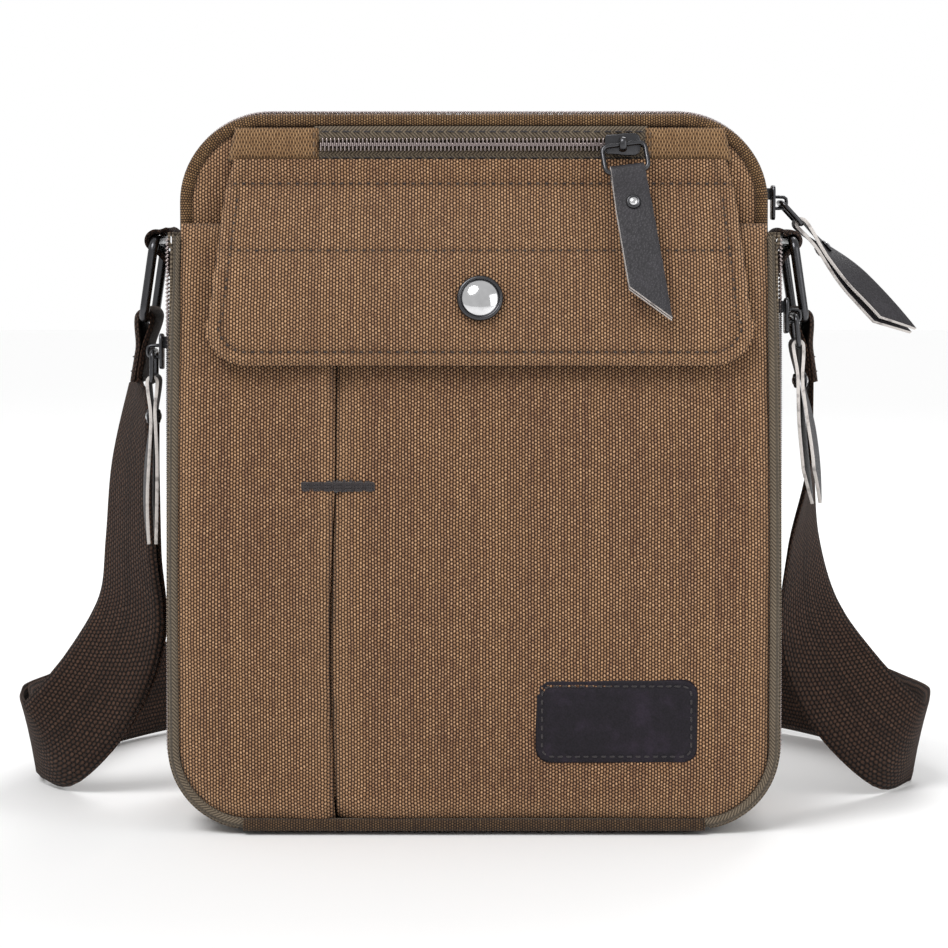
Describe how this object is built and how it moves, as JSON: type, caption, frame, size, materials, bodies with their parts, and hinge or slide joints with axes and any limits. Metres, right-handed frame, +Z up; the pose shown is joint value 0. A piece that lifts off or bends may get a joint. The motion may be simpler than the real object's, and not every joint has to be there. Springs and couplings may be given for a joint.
{
  "type": "messenger bag",
  "caption": "Upright rectangular canvas messenger bag with a snap flap, zipped pockets, leather zip pulls, a drop-down front pouch and an adjustable webbing shoulder strap.",
  "frame": {"origin": "on the floor under the bag, at the middle of its width and of the depth from the pouch's front to the back panel", "axes": "+Z up, -Y towards the front (the side with the flap), +X to the right as seen from the front"},
  "size_m": [0.3305, 0.2219, 0.2422],
  "materials": {
    "canvas": "coarse plain weave, flecked tan on brown",
    "chrome": "polished",
    "gunmetal": "dark plated, polished",
    "leather": "pebbled, semi-matte",
    "lining": "smooth thin weave",
    "thread": "matte thread",
    "webbing": "coarse flat webbing",
    "zip_tape": "fine twill tape"
  },
  "bodies": {
    "bag": {"back_panel": "canvas", "front_yoke": "canvas", "front_zip_half_lower": "zip_tape", "front_zip_half_upper": "zip_tape", "gusset_lower": "canvas", "gusset_top_front": "canvas", "gusset_top_rear": "canvas", "left_strap_tab": "webbing", "left_zip_half_rear": "zip_tape", "main_front_panel": "canvas", "main_lining": "lining", "main_zip_half_front": "zip_tape", "main_zip_half_rear": "zip_tape", "piping_front": "canvas", "piping_rear": "canvas", "pouch_bottom_strip": "canvas", "right_strap_tab": "webbing", "right_zip_half_rear": "zip_tape", "strap": "webbing", "strap_return": "webbing", "zip_pocket_lining": "lining"},
    "flap": {"flap_canvas": "canvas", "flap_lining": "lining", "snap_cap": "chrome", "snap_socket": "gunmetal"},
    "front_pull": {"front_pull_leather": "leather", "front_pull_rivet": "chrome"},
    "front_pull_ring": {"front_pull_ring": "gunmetal"},
    "front_slider": {"front_slider": "gunmetal"},
    "pouch": {"leather_patch": "leather", "left_zip_half_front": "zip_tape", "pleat_bartack": "thread", "pleat_facing": "canvas", "pouch_backing": "lining", "pouch_binding": "zip_tape", "pouch_front_left": "canvas", "pouch_front_right": "canvas", "right_zip_half_front": "zip_tape", "snap_stud": "gunmetal", "snap_stud_back": "gunmetal"},
    "left_pull": {"left_pull_leather": "leather", "left_pull_rivet": "chrome"},
    "left_pull_ring": {"left_pull_ring": "gunmetal"},
    "left_strap_ring": {"left_ring": "gunmetal", "left_strap_fold": "webbing"},
    "left_slider": {"left_slider": "gunmetal"},
    "main_pull": {"main_pull_leather": "leather", "main_pull_rivet": "chrome"},
    "main_pull_ring": {"main_pull_ring": "gunmetal"},
    "main_slider": {"main_slider": "gunmetal"},
    "right_pull": {"right_pull_leather": "leather", "right_pull_rivet": "chrome"},
    "right_pull_ring": {"right_pull_ring": "gunmetal"},
    "right_strap_ring": {"right_ring": "gunmetal", "right_strap_fold": "webbing"},
    "right_slider": {"right_slider": "gunmetal"},
    "adjuster": {"strap_adjuster": "gunmetal", "strap_end_fold": "webbing"}
  },
  "joints": [
    {"name": "flap_hinge", "type": "hinge", "parent": "bag", "child": "flap", "pos_m": [0.002, -0.0103, 0.2145], "axis": [-1, 0, 0], "range_deg": [0, 110]},
    {"name": "pouch_hinge", "type": "hinge", "parent": "bag", "child": "pouch", "pos_m": [0, -0.039, 0.004], "axis": [1, 0, 0], "range_deg": [0, 90]},
    {"name": "front_zip_slide", "type": "slide", "parent": "bag", "child": "front_slider", "axis": [-1, 0, 0], "range_m": [0, 0.095]},
    {"name": "left_zip_slide", "type": "slide", "parent": "bag", "child": "left_slider", "axis": [0, -0.0752, -0.9972], "range_m": [-0.014, 0.085]},
    {"name": "right_zip_slide", "type": "slide", "parent": "bag", "child": "right_slider", "axis": [0, -0.0752, -0.9972], "range_m": [-0.002, 0.097]},
    {"name": "main_zip_turn", "type": "hinge", "parent": "bag", "child": "main_slider", "pos_m": [0.07, 0.017, 0.21], "axis": [0, -1, 0], "range_deg": [0, 90]},
    {"name": "front_pull_hinge", "type": "hinge", "parent": "front_slider", "child": "front_pull_ring", "pos_m": [0.05, -0.0144, 0.2295], "axis": [-0.9903, -0.0577, -0.1266], "range_deg": [0, 121]},
    {"name": "front_leather_hinge", "type": "hinge", "parent": "front_pull_ring", "child": "front_pull", "pos_m": [0.05139, -0.01851, 0.22049], "axis": [-0.9903, -0.0577, -0.1266], "range_deg": [0, 60]},
    {"name": "left_pull_hinge", "type": "hinge", "parent": "left_slider", "child": "left_pull_ring", "pos_m": [-0.108, -0.01404, 0.16], "axis": [0, 1, 0], "range_deg": [0, 90]},
    {"name": "left_leather_hinge", "type": "hinge", "parent": "left_pull_ring", "child": "left_pull", "pos_m": [-0.10817, -0.01404, 0.15], "axis": [0, 1, 0], "range_deg": [0, 60]},
    {"name": "right_pull_hinge", "type": "hinge", "parent": "right_slider", "child": "right_pull_ring", "pos_m": [0.108, -0.01314, 0.172], "axis": [0, -1, 0], "range_deg": [-5, 85]},
    {"name": "right_leather_hinge", "type": "hinge", "parent": "right_pull_ring", "child": "right_pull", "pos_m": [0.10905, -0.01314, 0.16206], "axis": [0, -1, 0], "range_deg": [0, 60]},
    {"name": "main_pull_hinge", "type": "hinge", "parent": "main_slider", "child": "main_pull_ring", "pos_m": [0.1061, 0.017, 0.21], "axis": [0, -1, 0], "range_deg": [0, 110]},
    {"name": "main_leather_hinge", "type": "hinge", "parent": "main_pull_ring", "child": "main_pull", "pos_m": [0.11292, 0.017, 0.20269], "axis": [0, -1, 0], "range_deg": [0, 30]},
    {"name": "left_ring_hinge", "type": "hinge", "parent": "bag", "child": "left_strap_ring", "pos_m": [-0.109, 0.0185, 0.197], "axis": [0, 1, 0], "range_deg": [-8, 30]},
    {"name": "right_ring_hinge", "type": "hinge", "parent": "bag", "child": "right_strap_ring", "pos_m": [0.109, 0.0185, 0.197], "axis": [0, -1, 0], "range_deg": [-8, 30]},
    {"name": "adjuster_slide", "type": "slide", "parent": "bag", "child": "adjuster", "axis": [1, 0, 0], "range_m": [0, 0.06]}
  ],
  "couplings": [
    {"joint": "front_pull_hinge", "follows": "flap_hinge", "ratio": 1.1}
  ]
}
